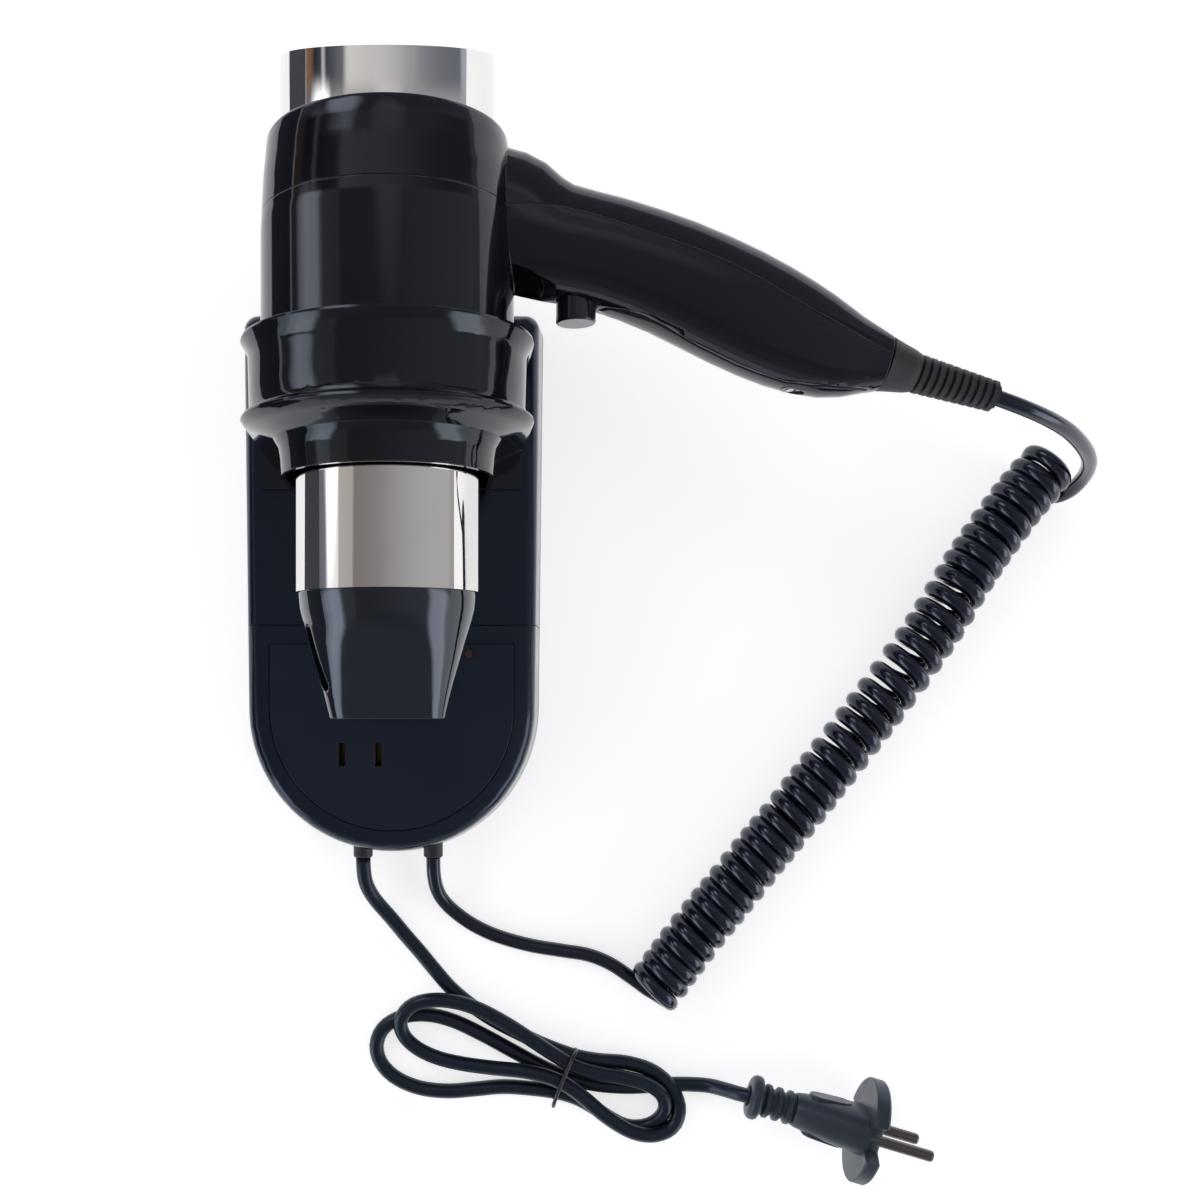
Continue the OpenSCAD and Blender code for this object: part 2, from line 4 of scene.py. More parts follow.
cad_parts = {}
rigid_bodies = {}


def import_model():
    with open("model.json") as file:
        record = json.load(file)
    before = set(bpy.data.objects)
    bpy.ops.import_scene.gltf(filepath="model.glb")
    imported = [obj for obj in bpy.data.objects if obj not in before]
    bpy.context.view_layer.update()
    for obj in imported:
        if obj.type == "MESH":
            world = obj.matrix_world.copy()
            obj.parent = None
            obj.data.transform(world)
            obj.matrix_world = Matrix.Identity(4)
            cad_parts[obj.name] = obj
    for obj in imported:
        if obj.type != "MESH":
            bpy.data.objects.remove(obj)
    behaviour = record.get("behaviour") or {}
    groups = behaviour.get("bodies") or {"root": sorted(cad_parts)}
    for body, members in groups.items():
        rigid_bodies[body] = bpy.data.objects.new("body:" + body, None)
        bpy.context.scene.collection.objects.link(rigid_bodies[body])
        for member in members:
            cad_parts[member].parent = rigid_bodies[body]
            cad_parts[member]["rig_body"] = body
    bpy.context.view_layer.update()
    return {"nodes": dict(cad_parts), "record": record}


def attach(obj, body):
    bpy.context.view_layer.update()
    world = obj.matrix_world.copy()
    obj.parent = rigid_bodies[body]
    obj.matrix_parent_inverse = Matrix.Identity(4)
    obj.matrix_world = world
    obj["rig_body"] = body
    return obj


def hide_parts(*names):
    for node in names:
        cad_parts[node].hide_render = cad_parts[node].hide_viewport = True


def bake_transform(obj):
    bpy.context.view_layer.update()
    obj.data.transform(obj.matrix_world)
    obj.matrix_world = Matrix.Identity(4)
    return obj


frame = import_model()
MM = 0.001
scene = bpy.context.scene

# ------------------------------------------------------------------ camera
cam_data = bpy.data.cameras.new("camera")
cam = bpy.data.objects.new("camera", cam_data)
scene.collection.objects.link(cam)
F_PX = 1344.0
cam_data.sensor_width = 36.0
cam_data.lens = F_PX / 1200.0 * 36.0
cam_data.shift_x, cam_data.shift_y = 167 / 1200, 79 / 1200
cam.location = (0.0144, 0.01025, 0.497)
look = Vector((0, 0, -1))
side = look.cross(Vector((0, 1, 0))).normalized()
up = side.cross(look)
cam.rotation_mode = "QUATERNION"
cam.rotation_quaternion = Matrix((side, up, -look)).transposed().to_quaternion()
cam_data.clip_start, cam_data.clip_end = 0.01, 20
scene.camera = cam
scene.view_settings.view_transform = "Standard"
scene.view_settings.look = "None"
scene.view_settings.exposure = 0.0


# ------------------------------------------------------------------ geometry helpers
def spline(pts, k):
    """Catmull-Rom through the points, k steps a span."""
    n = len(pts) - 1
    out = []
    for i in range(n):
        a, b, c, d = pts[max(i - 1, 0)], pts[i], pts[i + 1], pts[min(i + 2, n)]
        for j in range(k):
            t = j / k
            out.append([0.5 * (2 * b[q] + (c[q] - a[q]) * t + (2 * a[q] - 5 * b[q] + 4 * c[q] - d[q]) * t * t
                               + (3 * b[q] - a[q] - 3 * c[q] + d[q]) * t ** 3) for q in range(len(b))])
    out.append(list(pts[-1]))
    return out


def resample(pts, step):
    """Even steps along a polyline."""
    pts = [Vector(p) for p in pts]
    acc = [0.0]
    for a, b in zip(pts, pts[1:]):
        acc.append(acc[-1] + (b - a).length)
    n = max(2, round(acc[-1] / step))
    out, j = [], 0
    for i in range(n + 1):
        s = acc[-1] * i / n
        while j < len(acc) - 2 and acc[j + 1] < s:
            j += 1
        t = (s - acc[j]) / max(acc[j + 1] - acc[j], 1e-12)
        out.append(pts[j].lerp(pts[j + 1], min(1, max(0, t))))
    return out


def length_of(pts):
    return sum((Vector(b) - Vector(a)).length for a, b in zip(pts, pts[1:]))


def new_mesh(name, verts, faces, smooth=True):
    me = bpy.data.meshes.new(name)
    me.from_pydata([tuple(v) for v in verts], [], faces)
    bm = bmesh.new(); bm.from_mesh(me)
    bmesh.ops.recalc_face_normals(bm, faces=bm.faces)
    bm.to_mesh(me); bm.free()
    me.update()
    if smooth:
        me.shade_smooth()
    ob = bpy.data.objects.new(name, me)
    scene.collection.objects.link(ob)
    return ob


def tube(name, pts, radius, sides=14, rad=None):
    """A closed tube along points in metres."""
    pts = [Vector(p) for p in pts]
    n = len(pts)
    tan = [(pts[min(i + 1, n - 1)] - pts[max(i - 1, 0)]).normalized() for i in range(n)]
    nrm = tan[0].orthogonal().normalized()
    verts, faces = [], []
    for i in range(n):
        nrm = (nrm - nrm.dot(tan[i]) * tan[i]).normalized()
        bi = tan[i].cross(nrm)
        r = rad(i / (n - 1)) if rad else radius
        for j in range(sides):
            a = 2 * math.pi * j / sides
            verts.append(pts[i] + r * (math.cos(a) * nrm + math.sin(a) * bi))
    for i in range(n - 1):
        for j in range(sides):
            k = (j + 1) % sides
            faces.append((i * sides + j, i * sides + k, (i + 1) * sides + k, (i + 1) * sides + j))
    faces.append(tuple(range(sides - 1, -1, -1)))
    faces.append(tuple((n - 1) * sides + j for j in range(sides)))
    return new_mesh(name, verts, faces)


def sharp_by_angle(ob, deg=32):
    bm = bmesh.new(); bm.from_mesh(ob.data)
    lim = math.radians(deg)
    for e in bm.edges:
        e.smooth = len(e.link_faces) == 2 and e.calc_face_angle(0) < lim
    bm.to_mesh(ob.data); bm.free()
    ob.data.shade_smooth()
    bm = bmesh.new(); bm.from_mesh(ob.data)
    for e in bm.edges:
        e.smooth = len(e.link_faces) == 2 and e.calc_face_angle(0) < lim
    bm.to_mesh(ob.data); bm.free()


# ------------------------------------------------------------------ materials
def material(name, base, rough, metallic=0.0, coat=0.0, coat_rough=0.03, vary=0.12, vary_scale=60, bump=0.03, bump_scale=900,
             rough_vary=0.05, rough_scale=90, spec=0.5, detail=4, sheen=0.0, stretch=None, lumps=0.0, lump_scale=25, edge=0.0, tint=None):
    m = bpy.data.materials.new(name)
    m.use_nodes = True
    nt = m.node_tree
    nt.nodes.clear()
    out = nt.nodes.new("ShaderNodeOutputMaterial")
    p = nt.nodes.new("ShaderNodeBsdfPrincipled")
    nt.links.new(p.outputs[0], out.inputs[0])
    p.inputs["Metallic"].default_value = metallic
    p.inputs["Coat Weight"].default_value = coat
    p.inputs["Coat Roughness"].default_value = coat_rough
    p.inputs["Specular IOR Level"].default_value = spec
    if tint:
        p.inputs["Specular Tint"].default_value = (*tint, 1)
    if sheen:
        p.inputs["Sheen Weight"].default_value = sheen
        p.inputs["Sheen Roughness"].default_value = 0.5
    tc = nt.nodes.new("ShaderNodeTexCoord")
    src = tc.outputs["Object"]
    if stretch:
        mp = nt.nodes.new("ShaderNodeMapping")
        mp.inputs["Scale"].default_value = stretch
        nt.links.new(src, mp.inputs[0]); src = mp.outputs[0]

    def noise(scale, det=detail, rgh=0.55):
        n = nt.nodes.new("ShaderNodeTexNoise")
        n.inputs["Scale"].default_value = scale
        n.inputs["Detail"].default_value = det
        n.inputs["Roughness"].default_value = rgh
        nt.links.new(src, n.inputs["Vector"])
        return n.outputs["Fac"]
    ramp = nt.nodes.new("ShaderNodeValToRGB")
    lo = [max(0, c * (1 - vary)) for c in base]; hi = [min(1, c * (1 + vary)) for c in base]
    ramp.color_ramp.elements[0].position = 0.3
    ramp.color_ramp.elements[1].position = 0.7
    ramp.color_ramp.elements[0].color = (*lo, 1)
    ramp.color_ramp.elements[1].color = (*hi, 1)
    nt.links.new(noise(vary_scale), ramp.inputs[0])
    nt.links.new(ramp.outputs[0], p.inputs["Base Color"])
    mr = nt.nodes.new("ShaderNodeMapRange")
    mr.inputs["From Min"].default_value, mr.inputs["From Max"].default_value = 0.3, 0.7
    mr.inputs["To Min"].default_value = max(0.01, rough - rough_vary)
    mr.inputs["To Max"].default_value = rough + rough_vary
    nt.links.new(noise(rough_scale, 5), mr.inputs["Value"])
    nt.links.new(mr.outputs[0], p.inputs["Roughness"])
    prev = None
    if edge:
        bv = nt.nodes.new("ShaderNodeBevel")
        bv.samples = 4
        bv.inputs["Radius"].default_value = edge
        prev = bv.outputs[0]
    for amt, sc, dist in ((lumps, lump_scale, 0.0012), (bump, bump_scale, 0.0002)):
        if amt:
            b = nt.nodes.new("ShaderNodeBump")
            b.inputs["Strength"].default_value = amt
            b.inputs["Distance"].default_value = dist
            nt.links.new(noise(sc, 3), b.inputs["Height"])
            if prev is not None:
                nt.links.new(prev, b.inputs["Normal"])
            prev = b.outputs[0]
    if prev is not None:
        nt.links.new(prev, p.inputs["Normal"])
    return m


M = {
    "gloss_black": material("gloss_black", (0.0042, 0.0046, 0.0070), 0.055, vary=0.1, bump=0.008, bump_scale=260, rough_vary=0.018, lumps=0.006, lump_scale=30, edge=0.00045, tint=(0.78, 0.86, 1.0)),
    "unit_black": material("unit_black", (0.0055, 0.0085, 0.0175), 0.17, vary=0.08, bump=0.03, bump_scale=2400, rough_vary=0.03, edge=0.00045, tint=(0.60, 0.74, 1.0)),
    "panel_black": material("panel_black", (0.0075, 0.0115, 0.0225), 0.24, vary=0.08, bump=0.04, bump_scale=2600, rough_vary=0.03, edge=0.00045, tint=(0.60, 0.74, 1.0)),
    "chrome_plate": material("chrome_plate", (0.80, 0.785, 0.77), 0.03, metallic=1.0, vary=0.015, bump=0.004, bump_scale=180, rough_vary=0.012, lumps=0.006, lump_scale=26),
    "soft_black": material("soft_black", (0.026, 0.028, 0.033), 0.50, vary=0.18, bump=0.18, bump_scale=2600, rough_vary=0.07),
    "plug_rubber": material("plug_rubber", (0.034, 0.040, 0.050), 0.36, vary=0.16, bump=0.12, bump_scale=2400, rough_vary=0.07, tint=(0.60, 0.74, 1.0)),
    "cord_black": material("cord_black", (0.0050, 0.0064, 0.0125), 0.16, coat=0.25, coat_rough=0.08, vary=0.12, bump=0.05, bump_scale=1800, rough_vary=0.04, tint=(0.60, 0.74, 1.0)),
    "mains_cord_black": material("mains_cord_black", (0.0085, 0.0108, 0.0165), 0.30, vary=0.12, bump=0.08, bump_scale=2200, rough_vary=0.05, tint=(0.60, 0.74, 1.0)),
    "smoke_black": material("smoke_black", (0.0075, 0.0095, 0.0135), 0.05, coat=0.5, vary=0.1, bump=0.006, bump_scale=260, rough_vary=0.015, lumps=0.004, lump_scale=36, edge=0.00045, tint=(0.60, 0.74, 1.0)),
    "grille_black": material("grille_black", (0.012, 0.012, 0.013), 0.45, vary=0.2, bump=0.1, bump_scale=2000),
    "steel": material("steel", (0.55, 0.56, 0.58), 0.24, metallic=1.0, vary=0.08, bump=0.05, bump_scale=1600, rough_vary=0.06),
    "pin_steel": material("pin_steel", (0.15, 0.135, 0.13), 0.30, metallic=1.0, vary=0.14, bump=0.08, bump_scale=1500, rough_vary=0.06),
    # brass base colour kept far darker than real brass: painted shade for the dark socket slots
    "brass": material("brass", (0.10, 0.072, 0.035), 0.35, metallic=1.0, vary=0.1, bump=0.05, bump_scale=1500),
    "lamp_red": material("lamp_red", (0.035, 0.004, 0.006), 0.12, coat=0.3, vary=0.1, bump=0.01),
    "board_green": material("board_green", (0.02, 0.12, 0.05), 0.4, vary=0.2, bump=0.1, bump_scale=1200),
    "white_plastic": material("white_plastic", (0.62, 0.60, 0.53), 0.45, vary=0.06, bump=0.08, bump_scale=1600),
    "mica": material("mica", (0.52, 0.43, 0.27), 0.42, vary=0.3, vary_scale=220, bump=0.15, bump_scale=500),
    "inner_black": material("inner_black", (0.014, 0.0145, 0.016), 0.5, vary=0.15, bump=0.12, bump_scale=1800),
    "switch_blue": material("switch_blue", (0.05, 0.10, 0.24), 0.4, vary=0.1, bump=0.08),
    "alloy": material("alloy", (0.5, 0.51, 0.53), 0.33, metallic=1.0, vary=0.08, bump=0.08, bump_scale=1300),
    "tie_black": material("tie_black", (0.02, 0.021, 0.024), 0.3, vary=0.1, bump=0.05),
}
slot_of = {s["node"]: s["material_slot"] for s in frame["record"]["subparts"]}


def dress(ob, m):
    if not ob.data.materials:
        ob.data.materials.append(m)
    for s in ob.material_slots:
        s.link = "OBJECT"
        s.material = m


for n, ob in frame["nodes"].items():
    dress(ob, M[slot_of[n]])


def piece(ob, body, slot, *nodes, mat=None):
    dress(ob, mat or M[slot])
    if nodes:
        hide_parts(*nodes)
    if body:
        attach(ob, body)
    return ob


# ------------------------------------------------------------------ smooth-shaded skins of the moulded parts
def skin_of(node, limit=34):
    """The node's own surface, welded and smooth-shaded, standing for it."""
    src = frame["nodes"][node]
    ob = bpy.data.objects.new(node + "_skin", src.data.copy())
    scene.collection.objects.link(ob)
    bm = bmesh.new(); bm.from_mesh(ob.data)
    bmesh.ops.remove_doubles(bm, verts=bm.verts, dist=2e-6)
    lim = math.radians(limit)
    for f in bm.faces:
        f.smooth = True
    for e in bm.edges:
        e.smooth = len(e.link_faces) == 2 and e.calc_face_angle(0) < lim
    bm.to_mesh(ob.data); bm.free()
    ob.data.update()
    wn_mod = ob.modifiers.new("weighted", "WEIGHTED_NORMAL")
    wn_mod.keep_sharp = True
    wn_mod.weight = 80
    return piece(ob, src["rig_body"], slot_of[node], node)


for n in ("front_shell", "rear_shell", "grip_cover", "concentrator", "holder_cup", "rear_cap", "outlet_tube", "upper_cover", "lower_cover", "socket_panel",
          "button_cap", "strain_relief", "mains_bushing", "handset_bushing", "back_plate", "intake_grille"):
    skin_of(n)


# ------------------------------------------------------------------ cords
MAINS_R, WIRE_R = 2.7, 2.6
mains_pts = [(-11, -54.6, 8), (-10.7, -60.4, 7.8), (-9.7, -65, 7), (-6.8, -70.5, 4.6), (-1, -77.5, 3), (4.2, -83.8, 2.8), (9.6, -90, 2.8), (15.2, -96.8, 2.8),
    (20.8, -103.2, 2.8), (28.0, -109.3, 2.8), (36.5, -115.0, 2.8), (46.6, -120.2, 3.0), (55.8, -124.2, 3.8), (65.8, -127.4, 5.6), (75.1, -129.3, 5.0), (85.3, -130.4, 4.2), (94.7, -133.4, 3.8), (101.4, -139.2, 3.8),
    (104.5, -146.4, 4.4), (102.5, -153.0, 5.4), (95.9, -156.0, 6.6), (87.3, -154.8, 7.6), (78.0, -149.3, 8.4), (69.6, -142.2, 9.0), (63.7, -137.7, 9.4), (57.1, -134.5, 9.2), (47.9, -132.4, 8.4), (36.3, -131.4, 7.4), (25.4, -130.2, 6.4),
    (16.2, -128.3, 5.4), (8.6, -124.9, 4.8), (3.6, -120.0, 4.8), (2.6, -114.2, 5.8), (6.3, -109.0, 7.2), (12.8, -106.6, 8.4), (21.2, -106.8, 8.8), (30.3, -109.4, 8.8), (40.4, -114.6, 8.7), (50.4, -121.0, 8.8), (58.8, -126.4, 9.0),
    (66.2, -130.4, 9.2), (74.6, -133.0, 8.8), (83.1, -134.6, 8.0), (91.6, -137.0, 7.4), (97.6, -141.0, 6.4), (99.4, -146.6, 5.2), (96.8, -151.6, 3.8), (91.6, -154.2, 2.9), (85.4, -154.0, 2.8), (79.2, -151.0, 2.8), (73.2, -147.0, 2.8), (66.9, -143.6, 2.8),
    (59.3, -141.4, 2.9), (50.0, -140.2, 2.8), (39.8, -139.6, 2.8), (29.7, -140.5, 2.8), (19.5, -141.2, 2.8), (9.4, -140.0, 2.8), (0.9, -136.4, 2.8), (-4.6, -131.0, 2.8), (-6.4, -124.7, 2.8), (-4.4, -118.8, 2.8), (0.4, -115.0, 2.8),
    (6.9, -113.2, 2.8), (14.5, -113.4, 2.8), (22.9, -115.8, 2.8), (33.1, -120.7, 2.8), (43.2, -126.2, 2.8), (51.7, -130.8, 2.8), (59.3, -134.4, 2.9), (66.9, -137.1, 2.9), (75.4, -138.9, 2.8), (85.5, -139.6, 2.8), (94.8, -139.2, 2.8),
    (103.3, -138.7, 2.8), (110, -138.8, 2.8), (116, -138.9, 4.2), (121.2, -139.1, 8.8), (125.3, -139.3, 13.0), (129.8, -139.7, 15.1)]
mains_line = resample([Vector(p) * MM for p in spline(mains_pts, 6)], 0.0022)
mains = tube("mains_cord", mains_line, MAINS_R * MM, 14)
piece(mains, "root", "cord_black", "mains_lead", "mains_hank", "mains_tail", mat=M["mains_cord_black"])

COIL_D, COIL_W = 21.0, 3.0
CZ = COIL_D / 2 + 0.3
coil_pts = [(93, -103.6, CZ), (109.4, -81.8, CZ), (129.6, -56.8, CZ), (150, -31.4, CZ), (167, -9.6, CZ), (182.2, 10.2, CZ), (196.6, 30.6, CZ), (210, 52.4, CZ), (220.8, 68.1, CZ + 0.8), (228.6, 79, CZ + 3), (235.2, 87.8, CZ + 6)]
axis_line = resample([Vector(p) for p in spline(coil_pts, 8)], 0.5)
COIL_LEN = length_of(axis_line)


def pitch(s):
    u = s / COIL_LEN
    for (u0, p0), (u1, p1) in (((0, 5.7), (0.3, 5.8)), ((0.3, 5.8), (0.62, 7.5)), ((0.62, 7.5), (0.9, 5.7)), ((0.9, 5.7), (1.01, 5.5))):
        if u <= u1:
            t = max(0, (u - u0) / (u1 - u0))
            return p0 + (p1 - p0) * (3 * t * t - 2 * t ** 3)
    return 5.5


steps = [i * COIL_LEN / (len(axis_line) - 1) for i in range(len(axis_line))]
turn = [0.0]
for a, b in zip(steps, steps[1:]):
    turn.append(turn[-1] + (b - a) / pitch((a + b) / 2))
WHOLE = round(turn[-1])
turn = [t * WHOLE / turn[-1] for t in turn]
HR = COIL_D / 2 - COIL_W


def on_axis(t):
    """Centre point, and the sideways direction, where the coil has made t turns."""
    lo, hi = 0, len(turn) - 1
    while hi - lo > 1:
        mid = (lo + hi) // 2
        if turn[mid] <= t: lo = mid
        else: hi = mid
    f = (t - turn[lo]) / max(turn[hi] - turn[lo], 1e-9)
    c = axis_line[lo].lerp(axis_line[hi], f)
    d = (axis_line[min(hi + 2, len(axis_line) - 1)] - axis_line[max(lo - 2, 0)])
    d.z = 0
    d.normalize()
    return c, d.cross(Vector((0, 0, 1))), d


helix = []
PER = 24
T0, T1 = 0.0, WHOLE - 0.25
for i in range(int(round((T1 - T0) * PER)) + 1):
    t = T0 + i / PER
    c, n, d = on_axis(max(t, 0))
    if t < 0:
        c = c + d * (t * 4.5)
    wob = 1 + 0.010 * math.sin(t * 2.1) + 0.008 * math.sin(t * 5.3 + 1)
    f = math.pi - 2 * math.pi * t
    helix.append(c + HR * min(1.0, wob) * (math.cos(f) * Vector((0, 0, 1)) + math.sin(f) * n) + d * (0.5 * math.sin(t * 1.3)))
base_pts = [(14.5, -54.6, 8), (14.7, -60.5, 7.8), (15.6, -65.5, 6.6), (17.6, -70, 4.6), (21.8, -74.8, 2.9), (29, -80, 2.7), (38, -84.2, 2.7), (50, -87.6, 2.7), (62, -89.6, 2.7), (71.5, -91.2, 2.7), (79.5, -94.4, 2.7), (86.4, -98.9, 2.9)]
c, n, d = on_axis(T1)
tail = [c - n * 5.8 - d * 0.4 - Vector((0, 0, HR * 0.72)), c - n * 1.2 - d * 2.2 - Vector((0, 0, c.z - 4.0)), c + n * 4.6 - d * 4.6 - Vector((0, 0, c.z - 3.0))]
grip_pts = [tuple(p) for p in tail] + [(241.4, 77.2, 4.0), (245.4, 78.6, 9.5), (245.4, 82.2, 20), (241.2, 85.2, 32.5), (233.4, 88.0, 45), (222.8, 91.2, 57), (212.2, 93.9, 65), (202, 96.6, 69.6), (192.4, 99.66, 71)]
start = spline(base_pts + [tuple(helix[0]), tuple(helix[2])], 8)[:-8]
end = spline([tuple(helix[-3]), tuple(helix[-1])] + grip_pts, 8)[8:]
curly_line = [Vector(p) * MM for p in start[:-1]] + [p * MM for p in helix] + [Vector(p) * MM for p in end[1:]]
N_ALL, N_A, N_B = len(curly_line) - 1, len(start), len(start) + len(helix)


def curly_r(u):
    i = u * N_ALL
    k = min(1, max(0, (i - N_A + 4) / 24)) * min(1, max(0, (N_B + 2 - i) / 24))
    return (WIRE_R + (COIL_W - WIRE_R) * k) * MM


curly = tube("curly_cord", curly_line, WIRE_R * MM, 14, rad=curly_r)
piece(curly, None, "cord_black", "curly_base_lead", "curly_coil", "curly_grip_lead")
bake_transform(curly)
# ------------------------------------------------------------------ plug
PLUG = (Matrix.Translation((0.1710, -0.1511, 0.0189)) @ Matrix.Rotation(math.radians(-15.4), 4, "Z") @ Matrix.Rotation(math.radians(-5), 4, "Y")
        @ Matrix.Rotation(math.radians(90), 4, "Y") @ Matrix.Scale(MM, 4))


def rings(parts):
    """Closed lofts through rings of points given in the plug's frame, mm."""
    verts, faces = [], []
    for rs in parts:
        n, o = len(rs[0]), len(verts)
        for r in rs:
            verts += [PLUG @ Vector(p) for p in r]
        for i in range(len(rs) - 1):
            for j in range(n):
                k = (j + 1) % n
                faces.append((o + i * n + j, o + i * n + k, o + (i + 1) * n + k, o + (i + 1) * n + j))
        faces.append(tuple(o + j for j in range(n - 1, -1, -1)))
        faces.append(tuple(o + (len(rs) - 1) * n + j for j in range(n)))
    return verts, faces


def sup(a, b, z, k=2.0, n=48, y0=0.0):
    out = []
    for j in range(n):
        t = 2 * math.pi * j / n
        c, q = math.cos(t), math.sin(t)
        out.append((a * math.copysign(abs(c) ** (2 / k), c), y0 + b * math.copysign(abs(q) ** (2 / k), q), z))
    return out


def notched(r, z, inset=0.0):
    """Round outline with a wedge-sided notch on each pin side."""
    out = []
    half, depth, mouth = 3.6 + inset, 7.2 - inset * 0.2, 6.2 + inset
    for sx in (-1, 1):
        a0 = math.asin(mouth / r)
        base = math.pi if sx < 0 else 0.0
        xin = r - depth
        out.append((sx * xin, (-half if sx > 0 else half), z))
        out.append((sx * xin, (half if sx > 0 else -half), z))
        for i in range(25):
            a = base + a0 + (math.pi - 2 * a0) * i / 24
            out.append((r * math.cos(a), r * math.sin(a), z))
    # order: right notch then upper arc, left notch then lower arc
    return out[27:] + out[:27]


body_z = [(-4.2, 13.4, 8.3, 2.5), (-5.4, 13.3, 8.2, 2.5), (-8, 12.6, 8.0, 2.4), (-12, 11.4, 7.8, 2.4), (-17, 9.9, 7.5, 2.3), (-22, 8.2, 6.9, 2.2), (-26, 6.9, 6.3, 2.1), (-28, 6.3, 6.0, 2), (-28.9, 5.8, 5.6, 2), (-29.2, 4.6, 4.6, 2)]
parts = [[sup(a, b, z, k) for z, a, b, k in body_z]]
prof = [(4.7, -28.6)]
for i in range(3):
    z0 = -29.8 - 3.95 * i
    prof += [(4.7, z0 + 0.2), (5.5, z0), (5.95, z0 - 0.45), (6.0, z0 - 1.1), (5.95, z0 - 1.75), (5.5, z0 - 2.15), (4.7, z0 - 2.35)]
prof += [(4.7, -41.0), (6.6, -41.15), (7.35, -41.5), (7.75, -42.2), (7.8, -43.0), (7.75, -43.8), (7.3, -44.6), (6.5, -45.1), (3.9, -45.2), (3.4, -44.4)]
parts.append([sup(r, r, z) for r, z in prof])
parts.append([notched(18.0, -5.0, 0.2), notched(18.5, -4.5), notched(18.5, -0.7), notched(17.9, 0, 0.3)])
for sy in (-1, 1):
    pad = []
    for h, g in ((-1.6, 0), (0.3, 0), (0.65, 0.35)):
        ring = []
        for j in range(40):
            t = 2 * math.pi * j / 40
            c, q = math.cos(t), math.sin(t)
            zz = -17.2 + (7.2 - g) * math.copysign(abs(c) ** 0.5, c)
            xx = (4.4 - g) * math.copysign(abs(q) ** 0.6, q)
            ring.append((xx, sy * (7.45 + h - 0.055 * (-10 - zz)), zz))
        pad.append(ring)
    parts.append(pad)
plug = new_mesh("plug_moulding", *rings(parts))
sharp_by_angle(plug, 38)
piece(plug, "root", "soft_black", "plug_body", mat=M["plug_rubber"])
pin_parts = []
for sx in (-1, 1):
    pin_parts.append([[(sx * 9.5 + x, y, z) for x, y, z in sup(r, r, z0, n=28)] for r, z0 in ((1.98, -5.2), (1.98, 17.6), (1.85, 18.2), (1.4, 18.6))])
plug_pins = new_mesh("plug_round_pins", *rings(pin_parts))
sharp_by_angle(plug_pins, 50)
piece(plug_pins, "root", "alloy", "plug_pins", mat=M["pin_steel"])

# wire tie round the hank's waist
tie_c, tie_d = Vector((62.6, -135.2, 7.0)), Vector((math.cos(math.radians(68)), math.sin(math.radians(68)), 0))
tie_n = Vector((-tie_d.y, tie_d.x, 0))
ring = []
for i in range(61):
    a = 2 * math.pi * i / 60 * 1.06 - 0.3
    ca, sa = math.cos(a), math.sin(a)
    ring.append((tie_c + 10.8 * math.copysign(abs(ca) ** 0.72, ca) * tie_d + 6.4 * math.copysign(abs(sa) ** 0.7, sa) * Vector((0, 0, 1)) + tie_n * (1.6 * math.sin(a) + 0.5 * i / 60)) * MM)
tie = tube("wire_tie", resample(ring, 0.0008), 0.0007, 10)
piece(tie, "root", "soft_black", "hank_tie", mat=M["tie_black"])

# ------------------------------------------------------------------ stage and light
bpy.ops.mesh.primitive_plane_add(size=6, location=(0.05, 0, -0.0002))
floor = bpy.context.object
floor.name = "floor"
fm = bpy.data.materials.new("floor_white"); fm.use_nodes = True
fp = fm.node_tree.nodes["Principled BSDF"]
fp.inputs["Base Color"].default_value = (0.80, 0.80, 0.81, 1)
fp.inputs["Roughness"].default_value = 0.7
fp.inputs["Specular IOR Level"].default_value = 0.2
fp.inputs["Emission Color"].default_value = (1.0, 1.0, 1.0, 1)
fp.inputs["Emission Strength"].default_value = 0.66
floor.data.materials.append(fm)

world = bpy.data.worlds.new("studio"); scene.world = world
world.use_nodes = True
wn = world.node_tree; wn.nodes.clear()
wo = wn.nodes.new("ShaderNodeOutputWorld"); bg = wn.nodes.new("ShaderNodeBackground")
wt = wn.nodes.new("ShaderNodeTexCoord")
wnorm = wn.nodes.new("ShaderNodeVectorMath"); wnorm.operation = "NORMALIZE"
wn.links.new(wt.outputs["Generated"], wnorm.inputs[0])
sep = wn.nodes.new("ShaderNodeSeparateXYZ")
wn.links.new(wnorm.outputs[0], sep.inputs[0])


def wmath(op, a, b=None, clamp=False):
    n = wn.nodes.new("ShaderNodeMath"); n.operation = op; n.use_clamp = clamp
    for i, v in enumerate((a, b)):
        if v is None:
            continue
        if isinstance(v, (int, float)):
            n.inputs[i].default_value = v
        else:
            wn.links.new(v, n.inputs[i])
    return n.outputs[0]


def slant(u):
    """Sine of the angle off straight up, in the plane of u and Z, as 0..1."""
    h = wmath("SQRT", wmath("ADD", wmath("MULTIPLY", u, u), wmath("MULTIPLY", sep.outputs["Z"], sep.outputs["Z"])))
    return wmath("ADD", wmath("MULTIPLY", wmath("DIVIDE", u, wmath("MAXIMUM", h, 0.001)), 0.5), 0.5, True)


def bands(value, stops):
    r = wn.nodes.new("ShaderNodeValToRGB")
    r.color_ramp.interpolation = "EASE"
    els = r.color_ramp.elements
    for i, (p, c) in enumerate(stops):
        e = els[i] if i < 2 else els.new(0.5)
        e.position = (p + 1) / 2
        e.color = (*c, 1)
    # positions are set again once every stop exists, since the ramp sorts itself
    for e, (p, c) in zip(sorted(els, key=lambda q: q.position), sorted(stops)):
        e.position = (p + 1) / 2
        e.color = (*c, 1)
    wn.links.new(value, r.inputs[0])
    return r.outputs[0]


